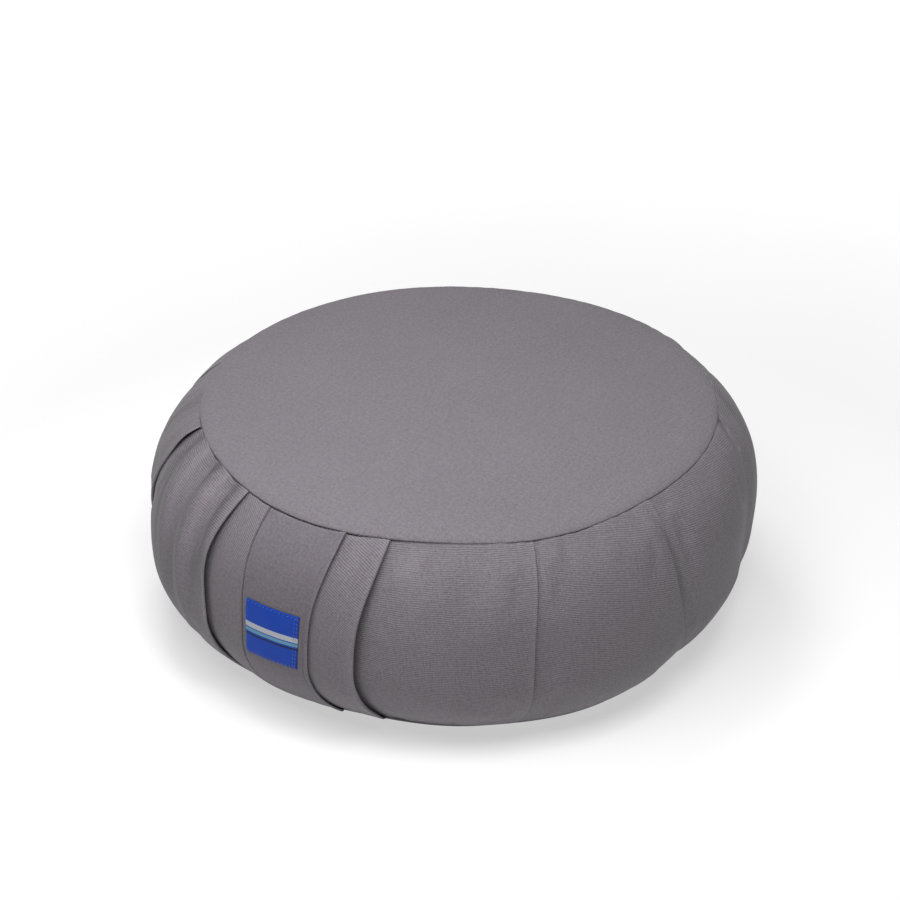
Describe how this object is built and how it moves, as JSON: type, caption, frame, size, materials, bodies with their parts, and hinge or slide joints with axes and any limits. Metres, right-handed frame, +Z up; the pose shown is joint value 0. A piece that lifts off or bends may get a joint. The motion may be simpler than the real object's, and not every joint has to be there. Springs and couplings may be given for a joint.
{
  "type": "zafu meditation cushion",
  "caption": "Round pleated floor cushion with flat crowned top and bottom panels, a closed placket and a small square label.",
  "frame": {"origin": "on the floor, under the middle of the cushion", "axes": "+Z up, the label and the placket face -Y"},
  "size_m": [0.3981, 0.4002, 0.148],
  "materials": {
    "cotton": "matt grey cotton twill",
    "label_weave": "tight satin-faced blue weave"
  },
  "bodies": {
    "root": {"side_band": "cotton", "top_panel": "cotton", "bottom_panel": "cotton", "placket": "cotton", "label": "label_weave"}
  },
  "joints": []
}
